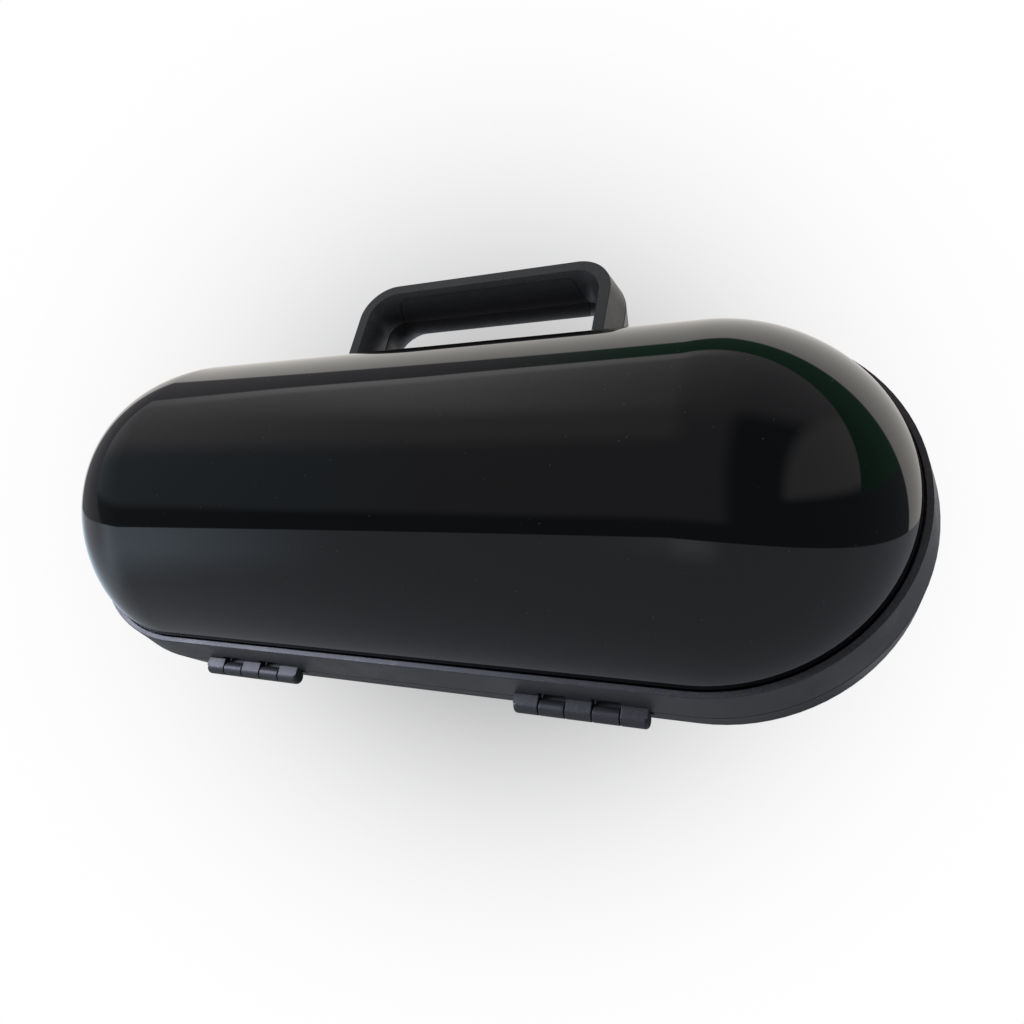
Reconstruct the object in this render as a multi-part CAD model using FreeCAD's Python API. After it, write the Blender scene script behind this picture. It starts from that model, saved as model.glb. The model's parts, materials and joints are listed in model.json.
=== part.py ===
import FreeCAD, Part
import math
import os

# Hard transport case for a handheld instrument, in millimetres, +Z up, lying on its back.
# Two domed shells sit in two frames that hinge together along one long side, with a split
# carrying handle and two sliding latches on the other long side.
# Everything is drawn about the middle of the parting plane and moved onto its feet at the end.

V = FreeCAD.Vector
X_AXIS = V(1, 0, 0)
Y_AXIS = V(0, 1, 0)
Z_AXIS = V(0, 0, 1)
CENTRE = V(0, 0, 0)

# Outline: a straight run with round ends
straight_half = 121.5
rim_radius = 79.7
parting_gap = 0.4

# Frames
frame_depth = 17.1
lid_draft = 10.3
base_draft = 4.0
frame_width = 15.7
rim_edge = 0.4
ring_land = 2.3
ring_edge = 0.4
land_edge = 0.25
groove_width = 0.4
groove_depth = 3.0
shelf_height = 9.0

# Domed shells
dome_height = 59.8
dome_lean = 6.0
dome_shoulder = 21.0
dome_crown = 41.0
shell_wall = 2.8
shell_fit = 0.1
flange_thickness = 2.6

# Screws that hold each shell's flange to its frame
shell_screw_radius = 1.5
shell_screw_length = 8.0
shell_screw_head_radius = 2.5
shell_screw_head_height = 1.8
shell_screw_x = 36.0
shell_screw_end_angle = 60.0
screw_clearance = 0.1

# Seal
seal_width = 3.2
seal_height = 1.7
seal_groove_depth = 2.6
seal_fit = 0.1
seal_inset = 2.6
rib_width = 1.2
rib_clearance = 0.2

# Hinges
hinge_x = 80.2
hinge_offset = 3.0
knuckle_count = 5
knuckle_pitch = 10.8
knuckle_radius = 3.2
knuckle_gap = 0.4
knuckle_edge = 0.35
hinge_end_round = 1.5
web_root = 3.0
notch_height = 6.0
notch_depth = 1.6
pin_radius = 1.5
pin_clearance = 0.05
pin_end_wall = 1.6

# Handle, split at the parting plane
handle_half_width = 72.8
handle_reach = 49.0
handle_corner = 22.0
handle_taper = 3.0
handle_leg = 11.4
handle_bar = 14.4
handle_inner_corner = 8.5
handle_front_band = 5.3
handle_front_inner_corner = 15.0
handle_sections = 5
handle_edge = 0.4
handle_screw_radius = 2.0
handle_screw_grip = 16.0
handle_screw_head_radius = 3.2
handle_screw_head_height = 2.4
handle_screw_height = 5.6

# Grip pads let into the underside of the bar
pad_half_length = 54.0
pad_end_taper = 5.0
pad_front_margin = 2.4
pad_corner = 4.5
pad_depth = 1.7
pad_seam = 0.25

# Latches
latch_handle_gap = 3.0
latch_seat_depth = 2.8
latch_seat_margin = 1.0
latch_travel = 6.0
latch_play = 0.15
slider_half_width = 9.5
slider_thickness = 2.2
slider_top = 12.4
slider_foot = 11.0
slider_edge = 1.2
tab_half_width = 4.6
tab_low = 4.2
tab_high = 10.2
tab_height = 4.0
tab_edge = 0.8
tab_round = 0.5
tab_rib_count = 3
tab_rib_width = 0.9
tab_rib_depth = 0.7
cover_skin = 1.8
cover_wall = 2.4
cover_ear = 5.6
cover_low = 1.4
cover_high = 13.2
cover_edge = 1.0
cover_round = 0.6
window_clearance = 0.4
cover_screw_radius = 1.25
cover_screw_grip = 6.0
cover_screw_head_radius = 2.1
cover_screw_head_height = 1.2
keeper_height = 5.6
keeper_post_radius = 2.0
keeper_head_radius = 3.5
keeper_head_gap = 0.6
keeper_head_height = 1.5
keeper_head_round = 0.4
keeper_shank_radius = 1.6
keeper_shank_length = 7.0
keeper_slot_width = 0.9
keeper_slot_depth = 0.8
keeper_clearance = 0.4

# Foam inserts
foam_gap = 0.4
foam_recess = 1.0
cavity_half_length = 150.0
cavity_slim_radius = 30.0
cavity_wide_radius = 42.0
cavity_slim_end = -34.0
cavity_wide_start = -2.0
cavity_slim_round = 14.0
cavity_wide_round = 20.0
cavity_step_round = 12.0
pocket_length = 80.0
pocket_width = 21.0
pocket_depth = 26.0
pocket_corner = 4.0
pocket_gap = 8.0
pocket_x = -84.0
finger_x = 72.0
finger_radius = 19.0
finger_reach = 57.0

# Feet
foot_x = 100.0
foot_y = 28.0
foot_radius = 9.0
foot_height = 14.0
foot_taper = 1.4
foot_edge = 1.2
foot_fit = 0.1
rest_clearance = 0.6

# Sizes that follow from those above
same_place = 0.001
half_gap = parting_gap / 2
lid_slope = math.tan(math.radians(lid_draft))
base_slope = math.tan(math.radians(base_draft))
ring_radius = rim_radius - frame_depth * lid_slope
groove_outer = ring_radius - ring_land
dome_radius = groove_outer - groove_width
frame_inner = rim_radius - frame_width
half_depth = frame_depth + dome_height
rest_height = half_depth + rest_clearance
flange_top = shelf_height + flange_thickness
seal_inner = frame_inner + seal_inset
seal_outer = seal_inner + seal_width
seal_middle = seal_inner + seal_width / 2
rib_depth = parting_gap + seal_groove_depth - seal_height - rib_clearance
hinge_y = -(rim_radius + hinge_offset)
hinge_half_length = knuckle_count * knuckle_pitch / 2
handle_top = rim_radius + handle_reach
seat_y = rim_radius - latch_seat_depth
cover_half = slider_half_width + latch_travel / 2 + latch_play + cover_wall + cover_ear
latch_x = handle_half_width + latch_handle_gap + cover_half
slider_low_y = seat_y + latch_play
slider_high_y = slider_low_y + slider_thickness
cover_low_y = slider_high_y + latch_play
cover_high_y = cover_low_y + cover_skin
foam_radius = frame_inner - foam_gap
footprint_middle = (handle_top + hinge_y - knuckle_radius) / 2
to_rest = V(0, -footprint_middle, rest_height)


def wall_radius(height, slope):
    """Outer radius of a frame at a height from the parting plane."""
    return rim_radius - height * slope


def rounded_wire(corners):
    """Closed wire through (point, radius) corners, each one an arc where its radius isn't 0."""
    arcs = []
    for i in range(len(corners)):
        point, radius = corners[i]
        before = (corners[i - 1][0] - point).normalize()
        after = (corners[(i + 1) % len(corners)][0] - point).normalize()
        if radius == 0:
            arcs.append((point, None, point))
            continue
        half_angle = before.getAngle(after) / 2
        reach = radius / math.tan(half_angle)
        middle = point + (before + after).normalize() * (radius / math.sin(half_angle) - radius)
        arcs.append((point + before * reach, middle, point + after * reach))
    edges = []
    for i in range(len(arcs)):
        start, middle, end = arcs[i]
        if middle is not None:
            edges.append(Part.Arc(start, middle, end).toShape())
        edges.append(Part.LineSegment(end, arcs[(i + 1) % len(arcs)][0]).toShape())
    return Part.Wire(edges)


def section(corners):
    """Face in the YZ plane from (y, z, corner radius) corners."""
    return Part.Face(rounded_wire([(V(0, y, z), radius) for y, z, radius in corners]))


def plan(corners, z=0):
    """Face in a level plane from (x, y, corner radius) corners."""
    return Part.Face(rounded_wire([(V(x, y, z), radius) for x, y, radius in corners]))


def solid_of(shape):
    """The one solid of a boolean's result, with its split faces joined."""
    return shape.removeSplitter().Solids[0]


def box(x0, x1, y0, y1, z0, z1):
    """Box between two corners."""
    return Part.makeBox(x1 - x0, y1 - y0, z1 - z0, V(x0, y0, z0))


def stadium_sweep(face):
    """Carries a section round the outline: along both straights and round both ends."""
    run = V(2 * straight_half, 0, 0)
    right_end = V(straight_half, 0, 0)
    left_end = right_end * -1
    far_side = face.translated(left_end).extrude(run)
    near_side = far_side.mirror(CENTRE, Y_AXIS)
    right = face.translated(right_end).revolve(right_end, Z_AXIS, -180)
    left = face.translated(left_end).revolve(left_end, Z_AXIS, 180)
    return solid_of(far_side.fuse([near_side, right, left]))


def edges_in(shape, direction, place):
    """Edges of a shape whose ends and middle all lie in the plane at a place along a direction."""
    found = []
    for edge in shape.Edges:
        points = edge.discretize(3)
        if all(abs(point.dot(direction) - place) < same_place for point in points):
            found.append(edge)
    return found


def below(shape):
    """Mirror image of a lid piece, for the base."""
    return shape.mirror(CENTRE, Z_AXIS)


def on_both_sides(shape):
    """A latch piece on the right and its mirror image on the left."""
    return {"right": shape, "left": shape.mirror(CENTRE, X_AXIS)}


def bezier(*poles):
    """Edge in the YZ plane along a Bezier curve through (y, z) poles."""
    curve = Part.BezierCurve()
    curve.setPoles([V(0, y, z) for y, z in poles])
    return curve.toShape()


def line(start, end):
    """Edge in the YZ plane between two (y, z) points."""
    return Part.LineSegment(V(0, *start), V(0, *end)).toShape()


def dome_edge(inset):
    """Dome profile from its leaning foot at the ring to its crown, moved in by a wall."""
    foot = dome_radius - inset
    crown = half_depth - inset
    reach = dome_shoulder * (dome_height - inset) / dome_height
    lean = math.radians(dome_lean)
    shoulder = (foot - reach * math.sin(lean), frame_depth + reach * math.cos(lean))
    level = dome_crown * foot / dome_radius
    return bezier((foot, frame_depth), shoulder, (level, crown), (0, crown))


def dome_solid(inset):
    """Solid under the dome, down to the parting plane."""
    foot = dome_radius - inset
    crown = half_depth - inset
    outline = [
        dome_edge(inset),
        line((0, crown), (0, 0)),
        line((0, 0), (foot, 0)),
        line((foot, 0), (foot, frame_depth)),
    ]
    return stadium_sweep(Part.Face(Part.Wire(outline)))


def shell_screw_places():
    """Places of the flange screws: two on each straight and three round each end."""
    middle = (frame_inner + dome_radius - shell_wall) / 2
    places = []
    for side in (-1, 1):
        for end in (-1, 1):
            places.append(V(end * shell_screw_x, side * middle, 0))
        for step in (-1, 0, 1):
            angle = math.radians(step * shell_screw_end_angle)
            reach = straight_half + middle * math.cos(angle)
            places.append(V(side * reach, middle * math.sin(angle), 0))
    return places


def shell():
    """Domed shell with a skirt that drops into the frame and a flange on the frame's shelf."""
    inside = dome_radius - shell_wall
    inner_crown = half_depth - shell_wall
    outline = [
        dome_edge(0),
        line((0, half_depth), (0, inner_crown)),
        dome_edge(shell_wall),
        line((inside, frame_depth), (inside, flange_top)),
        line((inside, flange_top), (frame_inner, flange_top)),
        line((frame_inner, flange_top), (frame_inner, shelf_height)),
        line((frame_inner, shelf_height), (dome_radius, shelf_height)),
        line((dome_radius, shelf_height), (dome_radius, frame_depth)),
    ]
    body = stadium_sweep(Part.Face(Part.Wire(Part.__sortEdges__(outline))))
    hole = shell_screw_radius + screw_clearance
    holes = []
    for place in shell_screw_places():
        holes.append(Part.makeCylinder(hole, flange_top, place))
    return solid_of(body.cut(holes))


def shell_screws():
    """Flange screws, driven down into the frame from inside the shell."""
    tip = flange_top - shell_screw_length
    screws = []
    for place in shell_screw_places():
        shank = Part.makeCylinder(shell_screw_radius, shell_screw_length, place + V(0, 0, tip))
        head_foot = place + V(0, 0, flange_top)
        head = Part.makeCylinder(shell_screw_head_radius, shell_screw_head_height, head_foot)
        screws.append(solid_of(shank.fuse(head)))
    return Part.makeCompound(screws)


def frame_section(slope, seal_corners):
    """Frame section: drafted wall, land, shadow groove, seat for the skirt, shelf and parting face."""
    seat = dome_radius + shell_fit
    groove_floor = frame_depth - groove_depth
    return section([
        (wall_radius(half_gap, slope), half_gap, rim_edge),
        (wall_radius(frame_depth, slope), frame_depth, ring_edge),
        (groove_outer, frame_depth, land_edge),
        (groove_outer, groove_floor, 0),
        (seat, groove_floor, 0),
        (seat, shelf_height, 0),
        (frame_inner, shelf_height, 0),
        (frame_inner, half_gap, 0),
    ] + seal_corners)


def lid_seal_corners():
    """Rib under the lid's frame that presses on the gasket."""
    inner = seal_middle - rib_width / 2
    outer = seal_middle + rib_width / 2
    low = half_gap - rib_depth
    return [(inner, half_gap, 0), (inner, low, 0), (outer, low, 0), (outer, half_gap, 0)]


def base_seal_corners():
    """Groove in the base's frame that holds the gasket, drawn the lid's way up."""
    floor = half_gap + seal_groove_depth
    return [
        (seal_inner, half_gap, 0),
        (seal_inner, floor, 0),
        (seal_outer, floor, 0),
        (seal_outer, half_gap, 0),
    ]


def gasket():
    """Rubber ring on the floor of the base's groove."""
    floor = -half_gap - seal_groove_depth
    inner = seal_inner + seal_fit
    outer = seal_outer - seal_fit
    top = floor + seal_height
    crown = seal_width / 4
    return stadium_sweep(section([
        (inner, floor, 0),
        (outer, floor, 0),
        (outer, top, crown),
        (inner, top, crown),
    ]))


def knuckle_span(hinge, number):
    """Start and end of a knuckle along X."""
    start = hinge - hinge_half_length + number * knuckle_pitch
    return start + knuckle_gap / 2, start + knuckle_pitch - knuckle_gap / 2


def barrel(start, end, start_round, end_round):
    """Knuckle barrel about the hinge axis, with its two rims rounded."""
    outline = plan([
        (start, hinge_y, 0),
        (end, hinge_y, 0),
        (end, hinge_y + knuckle_radius, end_round),
        (start, hinge_y + knuckle_radius, start_round),
    ])
    return outline.revolve(V(0, hinge_y, 0), X_AXIS, 360)


def web(start, end):
    """Web that carries a barrel on the frame's wall, level with the barrel's top on the lid."""
    root = -(rim_radius - web_root)
    outline = Part.Face(rounded_wire([
        (V(start, hinge_y, half_gap), 0),
        (V(end, hinge_y, half_gap), 0),
        (V(end, hinge_y, knuckle_radius), knuckle_edge),
        (V(start, hinge_y, knuckle_radius), knuckle_edge),
    ]))
    return outline.extrude(V(0, root - hinge_y, 0))


def knuckle(hinge, number):
    """One knuckle of a hinge, drawn on the lid."""
    start, end = knuckle_span(hinge, number)
    start_round = hinge_end_round if number == 0 else knuckle_edge
    end_round = hinge_end_round if number == knuckle_count - 1 else knuckle_edge
    return barrel(start, end, start_round, end_round).fuse(web(start, end))


def notch(hinge, number):
    """Room in the frame's wall for one of the other frame's knuckles, drawn on the lid."""
    start, end = knuckle_span(hinge, number)
    inner = -(rim_radius - notch_depth)
    return box(start - knuckle_gap, end + knuckle_gap, hinge_y, inner, 0, notch_height)


def along_hinge(radius, start, end):
    """Cylinder on the hinge axis."""
    return Part.makeCylinder(radius, end - start, V(start, hinge_y, 0), X_AXIS)


def pin_span(hinge):
    """Start and end of a hinge pin: open at the left end, stopped by a wall at the right."""
    start, unused = knuckle_span(hinge, 0)
    unused, end = knuckle_span(hinge, knuckle_count - 1)
    return start + knuckle_edge, end - pin_end_wall


def hinge_pin(hinge):
    """Steel pin of one hinge."""
    start, end = pin_span(hinge)
    return along_hinge(pin_radius, start, end)


def with_hinges(frame, numbers):
    """Cuts the notches for the other frame's knuckles and adds the frame's own."""
    for hinge in (-hinge_x, hinge_x):
        others = [number for number in range(knuckle_count) if number not in numbers]
        frame = frame.cut([notch(hinge, number) for number in others])
        frame = frame.fuse([knuckle(hinge, number) for number in numbers])
        start, end = pin_span(hinge)
        frame = frame.cut(along_hinge(pin_radius + pin_clearance, start - hinge_end_round, end))
    return solid_of(frame)


def handle_thickness(full, share):
    """Thickness of the bar or of a leg at a share of the way from the split to the front band."""
    return handle_front_band + (full - handle_front_band) * (1 - share ** 2)


def handle_leg_middle():
    """Place of a leg's middle along X at the handle screws' height."""
    share = handle_screw_height / frame_depth
    outer = handle_half_width - handle_taper * share
    return outer - handle_thickness(handle_leg, share) / 2


def handle_screw(radius, head_radius, head_height, end):
    """Both legs' screws, or the room they need, along Y through the frame on the lid."""
    pieces = []
    for side in (-1, 1):
        start = V(side * handle_leg_middle(), frame_inner, handle_screw_height)
        shank = Part.makeCylinder(radius, end - frame_inner, start, Y_AXIS)
        head = Part.makeCylinder(head_radius, head_height, start, Y_AXIS)
        pieces.append(solid_of(shank.fuse(head)))
    return pieces


def handle_screw_end():
    """How far the handle screws reach along Y."""
    return rim_radius + handle_screw_grip


def handle_screws():
    """The two screws that hold a handle half to its frame."""
    end = handle_screw_end()
    head_radius = handle_screw_head_radius
    return Part.makeCompound(
        handle_screw(handle_screw_radius, head_radius, handle_screw_head_height, end))


def handle_screw_room():
    """Clearance holes round the handle screws."""
    return handle_screw(
        handle_screw_radius + screw_clearance,
        handle_screw_head_radius + screw_clearance,
        handle_screw_head_height,
        handle_screw_end() + screw_clearance)


def handle_outline(share):
    """Closed outline of the handle's loop at a share of its depth, with its feet inside the frame."""
    height = half_gap + (frame_depth - half_gap) * share
    taper = handle_taper * share
    outer = handle_half_width - taper
    top = handle_top - taper
    foot = rim_radius - frame_width / 2
    inner = outer - handle_thickness(handle_leg, share)
    inner_top = top - handle_thickness(handle_bar, share)
    outer_corner = handle_corner - taper
    inner_corner = handle_inner_corner + (handle_front_inner_corner - handle_inner_corner) * share
    return rounded_wire([
        (V(-outer, foot, height), 0),
        (V(-outer, top, height), outer_corner),
        (V(outer, top, height), outer_corner),
        (V(outer, foot, height), 0),
        (V(inner, foot, height), 0),
        (V(inner, inner_top, height), inner_corner),
        (V(-inner, inner_top, height), inner_corner),
        (V(-inner, foot, height), 0),
    ])


def drafted_block(slope):
    """Solid inside a frame's drafted wall."""
    wall = frame_depth * 2
    return stadium_sweep(section([
        (0, 0, 0),
        (rim_radius, 0, 0),
        (wall_radius(wall, slope), wall, 0),
        (0, wall, 0),
    ]))


def handle_loop(slope):
    """Half of the handle's loop, rounded underneath, with softened edges at its split and front."""
    sections = []
    for step in range(handle_sections):
        sections.append(handle_outline(step / (handle_sections - 1)))
    loop = Part.makeLoft(sections, True)
    loop = solid_of(loop.cut(drafted_block(slope)))
    edges = edges_in(loop, Z_AXIS, half_gap) + edges_in(loop, Z_AXIS, frame_depth)
    free = [edge for edge in edges if edge.BoundBox.YMax > rim_radius]
    return loop.makeFillet(handle_edge, free)


def pad_solid(loop, margin):
    """Skin of the bar's underside that the grip pad takes up, with a margin off its free edges."""
    rise = frame_depth - pad_front_margin - margin
    back_half = pad_half_length - margin
    front_half = back_half - pad_end_taper
    corner = pad_corner - margin
    outline = Part.Face(rounded_wire([
        (V(-back_half, rim_radius, 0), 0),
        (V(back_half, rim_radius, 0), 0),
        (V(front_half, rim_radius, rise), corner),
        (V(-front_half, rim_radius, rise), corner),
    ]))
    column = outline.extrude(V(0, handle_reach, 0))
    return solid_of(loop.common(column).cut(loop.translated(V(0, pad_depth, 0))))


def handle_half(loop):
    """Half of the carrying handle, with the pocket for its grip pad."""
    return solid_of(loop.cut([pad_solid(loop, 0)] + handle_screw_room()))


def grip_pad(loop):
    """Pad that fills the pocket under the bar, up to a fine seam."""
    return pad_solid(loop, pad_seam)


def latch_seat(height):
    """Room for a latch's flat seat, cut into the frame's wall on the right."""
    half = cover_half + window_clearance
    return box(latch_x - half, latch_x + half, seat_y, rim_radius * 2, 0, height)


def cover_screw_places():
    """Feet of a latch cover's two screws on its outer face."""
    reach = cover_half - cover_ear / 2
    height = (cover_low + cover_high) / 2
    return [V(latch_x + side * reach, cover_high_y, height) for side in (-1, 1)]


def cover_screw_tip():
    """Place of a cover screw's tip along Y."""
    return seat_y - cover_screw_grip


def latch_cover():
    """Cover that guides a slider along the frame, with a window for the thumb tab."""
    low = latch_x - cover_half
    high = latch_x + cover_half
    outline = Part.Face(rounded_wire([
        (V(low, seat_y, cover_low), cover_edge),
        (V(high, seat_y, cover_low), cover_edge),
        (V(high, seat_y, cover_high), cover_edge),
        (V(low, seat_y, cover_high), cover_edge),
    ]))
    body = outline.extrude(V(0, cover_high_y - seat_y, 0))
    body = body.makeFillet(cover_round, edges_in(body, Y_AXIS, cover_high_y))
    track_half = slider_half_width + latch_travel / 2 + latch_play
    track = box(
        latch_x - track_half, latch_x + track_half,
        seat_y, cover_low_y,
        0, slider_top + latch_play)
    window_half = tab_half_width + latch_travel / 2 + window_clearance
    window = box(
        latch_x - window_half, latch_x + window_half,
        seat_y, rim_radius * 2,
        tab_low - window_clearance, tab_high + window_clearance)
    holes = []
    for place in cover_screw_places():
        hole = cover_screw_radius + screw_clearance
        holes.append(Part.makeCylinder(hole, cover_high_y - seat_y, place, Y_AXIS * -1))
    return solid_of(body.cut([track, window] + holes))


def latch_cover_screws():
    """Screws of the right latch's cover."""
    screws = []
    for place in cover_screw_places():
        length = cover_high_y - cover_screw_tip()
        shank = Part.makeCylinder(cover_screw_radius, length, place, Y_AXIS * -1)
        head = Part.makeCylinder(cover_screw_head_radius, cover_screw_head_height, place, Y_AXIS)
        screws.append(solid_of(shank.fuse(head)))
    return Part.makeCompound(screws)


def latch_slider():
    """Slider, unlocked: its slot stands open over the keeper and runs sideways behind it."""
    middle = latch_x + latch_travel / 2
    plate = Part.Face(rounded_wire([
        (V(middle - slider_half_width, slider_low_y, -slider_foot), slider_edge),
        (V(middle + slider_half_width, slider_low_y, -slider_foot), slider_edge),
        (V(middle + slider_half_width, slider_low_y, slider_top), slider_edge),
        (V(middle - slider_half_width, slider_low_y, slider_top), slider_edge),
    ])).extrude(V(0, slider_thickness, 0))
    tab = Part.Face(rounded_wire([
        (V(middle - tab_half_width, slider_low_y, tab_low), tab_edge),
        (V(middle + tab_half_width, slider_low_y, tab_low), tab_edge),
        (V(middle + tab_half_width, slider_low_y, tab_high), tab_edge),
        (V(middle - tab_half_width, slider_low_y, tab_high), tab_edge),
    ])).extrude(V(0, slider_thickness + tab_height, 0))
    tab_face = slider_high_y + tab_height
    tab = tab.makeFillet(tab_round, edges_in(tab, Y_AXIS, tab_face))
    pitch = 2 * tab_half_width / (tab_rib_count + 1)
    cuts = []
    for number in range(tab_rib_count):
        rib = middle - tab_half_width + (number + 1) * pitch
        cuts.append(box(
            rib - tab_rib_width / 2, rib + tab_rib_width / 2,
            tab_face - tab_rib_depth, tab_face + tab_rib_depth,
            tab_low, tab_high))
    room = keeper_post_radius + keeper_clearance
    slot_floor = -keeper_height - room
    slot_roof = -keeper_height + room
    entry = box(
        latch_x - room, latch_x + room, seat_y, cover_low_y, -slider_foot, slot_roof)
    hook = box(
        latch_x - room, latch_x + room + latch_travel, seat_y, cover_low_y, slot_floor, slot_roof)
    return solid_of(plate.fuse(tab).cut(cuts + [entry, hook]))


def latch_keeper():
    """Shouldered stud in the base's frame that a slider hooks behind."""
    seat = V(latch_x, seat_y, -keeper_height)
    shank = Part.makeCylinder(keeper_shank_radius, keeper_shank_length, seat, Y_AXIS * -1)
    head_foot = slider_high_y - seat_y + keeper_head_gap
    post = Part.makeCylinder(keeper_post_radius, head_foot, seat, Y_AXIS)
    head_seat = seat + V(0, head_foot, 0)
    head = Part.makeCylinder(keeper_head_radius, keeper_head_height, head_seat, Y_AXIS)
    face = head_seat.y + keeper_head_height
    head = head.makeFillet(keeper_head_round, edges_in(head, Y_AXIS, face))
    slot = box(
        latch_x - keeper_head_radius, latch_x + keeper_head_radius,
        face - keeper_slot_depth, face + keeper_slot_depth,
        seat.z - keeper_slot_width / 2, seat.z + keeper_slot_width / 2)
    return solid_of(post.fuse([shank, head]).cut(slot))


def lid_latch_cuts():
    """Seats and screw holes for both latches in the lid's frame."""
    cuts = [latch_seat(frame_depth * 2)]
    for place in cover_screw_places():
        hole = cover_screw_radius + screw_clearance
        length = cover_high_y - cover_screw_tip() + screw_clearance
        cuts.append(Part.makeCylinder(hole, length, place, Y_AXIS * -1))
    return cuts + [cut.mirror(CENTRE, X_AXIS) for cut in cuts]


def base_latch_cuts():
    """Seats and keeper holes for both latches in the base's frame."""
    hole = keeper_shank_radius + screw_clearance
    seat = V(latch_x, seat_y, -keeper_height)
    length = keeper_shank_length + screw_clearance
    seat_room = below(latch_seat(slider_foot + latch_seat_margin))
    cuts = [seat_room, Part.makeCylinder(hole, length, seat, Y_AXIS * -1)]
    return cuts + [cut.mirror(CENTRE, X_AXIS) for cut in cuts]


def shell_screw_holes():
    """Holes in a frame's shelf for the flange screws."""
    hole = shell_screw_radius + screw_clearance
    depth = flange_top - shell_screw_length - screw_clearance
    places = shell_screw_places()
    return [Part.makeCylinder(hole, shelf_height, place + V(0, 0, depth)) for place in places]


def lid_frame():
    """Frame of the lid, with the outer and middle knuckles of each hinge."""
    body = stadium_sweep(frame_section(lid_slope, lid_seal_corners()))
    body = with_hinges(body, range(0, knuckle_count, 2))
    return solid_of(body.cut(shell_screw_holes() + handle_screw_room() + lid_latch_cuts()))


def base_frame():
    """Frame of the base, with the knuckles between the lid's and the gasket's groove."""
    body = stadium_sweep(frame_section(base_slope, base_seal_corners()))
    body = with_hinges(body, range(1, knuckle_count, 2))
    body = below(body.cut(shell_screw_holes() + handle_screw_room()))
    return solid_of(body.cut(base_latch_cuts()))


def instrument_cavity():
    """Round hollow for a handheld instrument, slim at one end and wide at the other."""
    outline = plan([
        (-cavity_half_length, 0, 0),
        (cavity_half_length, 0, 0),
        (cavity_half_length, cavity_wide_radius, cavity_wide_round),
        (cavity_wide_start, cavity_wide_radius, cavity_step_round),
        (cavity_slim_end, cavity_slim_radius, cavity_step_round),
        (-cavity_half_length, cavity_slim_radius, cavity_slim_round),
    ])
    return outline.revolve(CENTRE, X_AXIS, 360)


def foam_block():
    """Foam that fills a shell behind its frame, drawn on the lid."""
    low = half_gap + foam_recess
    plug = stadium_sweep(section([
        (0, low, 0),
        (foam_radius, low, 0),
        (foam_radius, half_depth, 0),
        (0, half_depth, 0),
    ]))
    filled = dome_solid(shell_wall + foam_gap).common(plug)
    return solid_of(filled.cut(instrument_cavity()))


def pocket(side):
    """Pocket for a small accessory beside the slim end of the instrument."""
    near = side * (cavity_slim_radius + pocket_gap)
    far = near + side * pocket_width
    low = pocket_x - pocket_length / 2
    high = pocket_x + pocket_length / 2
    outline = plan([
        (low, near, pocket_corner),
        (high, near, pocket_corner),
        (high, far, pocket_corner),
        (low, far, pocket_corner),
    ], -pocket_depth)
    return outline.extrude(V(0, 0, pocket_depth))


def base_foam():
    """Foam of the base, with two accessory pockets and a hollow for the fingers."""
    start = V(finger_x, -finger_reach, 0)
    fingers = Part.makeCylinder(finger_radius, 2 * finger_reach, start, Y_AXIS)
    return solid_of(below(foam_block()).cut([pocket(-1), pocket(1), fingers]))


def feet():
    """Four rubber feet that follow the base's dome and stand level."""
    outline = Part.Face(rounded_wire([
        (V(0, 0, -rest_height), 0),
        (V(foot_radius - foot_taper, 0, -rest_height), foot_edge),
        (V(foot_radius, 0, foot_height - rest_height), 0),
        (V(0, 0, foot_height - rest_height), 0),
    ]))
    post = outline.revolve(CENTRE, Z_AXIS, 360)
    dome = below(dome_solid(-foot_fit))
    made = {}
    for end, end_name in ((-1, "left"), (1, "right")):
        for side, side_name in ((-1, "hinge"), (1, "handle")):
            foot = post.translated(V(end * foot_x, side * foot_y, 0))
            made["foot_" + side_name + "_" + end_name] = solid_of(foot.cut(dome))
    return made


def all_parts():
    """Every piece of the case by name."""
    shell_piece = shell()
    shell_screw_set = shell_screws()
    lid_loop = handle_loop(lid_slope)
    base_loop = handle_loop(base_slope)
    handle_screw_set = handle_screws()
    parts = {
        "lid_shell": shell_piece,
        "lid_frame": lid_frame(),
        "lid_shell_screws": shell_screw_set,
        "lid_handle_half": handle_half(lid_loop),
        "lid_handle_screws": handle_screw_set,
        "lid_grip_pad": grip_pad(lid_loop),
        "lid_foam": foam_block(),
        "base_shell": below(shell_piece),
        "base_frame": base_frame(),
        "base_shell_screws": below(shell_screw_set),
        "base_handle_half": below(handle_half(base_loop)),
        "base_handle_screws": below(handle_screw_set),
        "base_grip_pad": below(grip_pad(base_loop)),
        "base_foam": base_foam(),
        "seal_gasket": gasket(),
        "hinge_pin_left": hinge_pin(-hinge_x),
        "hinge_pin_right": hinge_pin(hinge_x),
    }
    parts.update(feet())
    latch_pieces = {
        "latch_cover": latch_cover(),
        "latch_cover_screws": latch_cover_screws(),
        "latch_slider": latch_slider(),
        "latch_keeper": latch_keeper(),
    }
    for name, piece in latch_pieces.items():
        for side, placed in on_both_sides(piece).items():
            parts[name + "_" + side] = placed
    return parts


os.makedirs("parts", exist_ok=True)
for name, part in all_parts().items():
    part.translated(to_rest).exportStep("parts/" + name + ".step")
    print(name, len(part.Solids), part.isValid(), round(part.Volume))
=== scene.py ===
"""Looks of a hard transport case with round ends, built round its packed construction."""
import json
import math

import bmesh
import bpy
from mathutils import Matrix, Vector, geometry, noise


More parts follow.
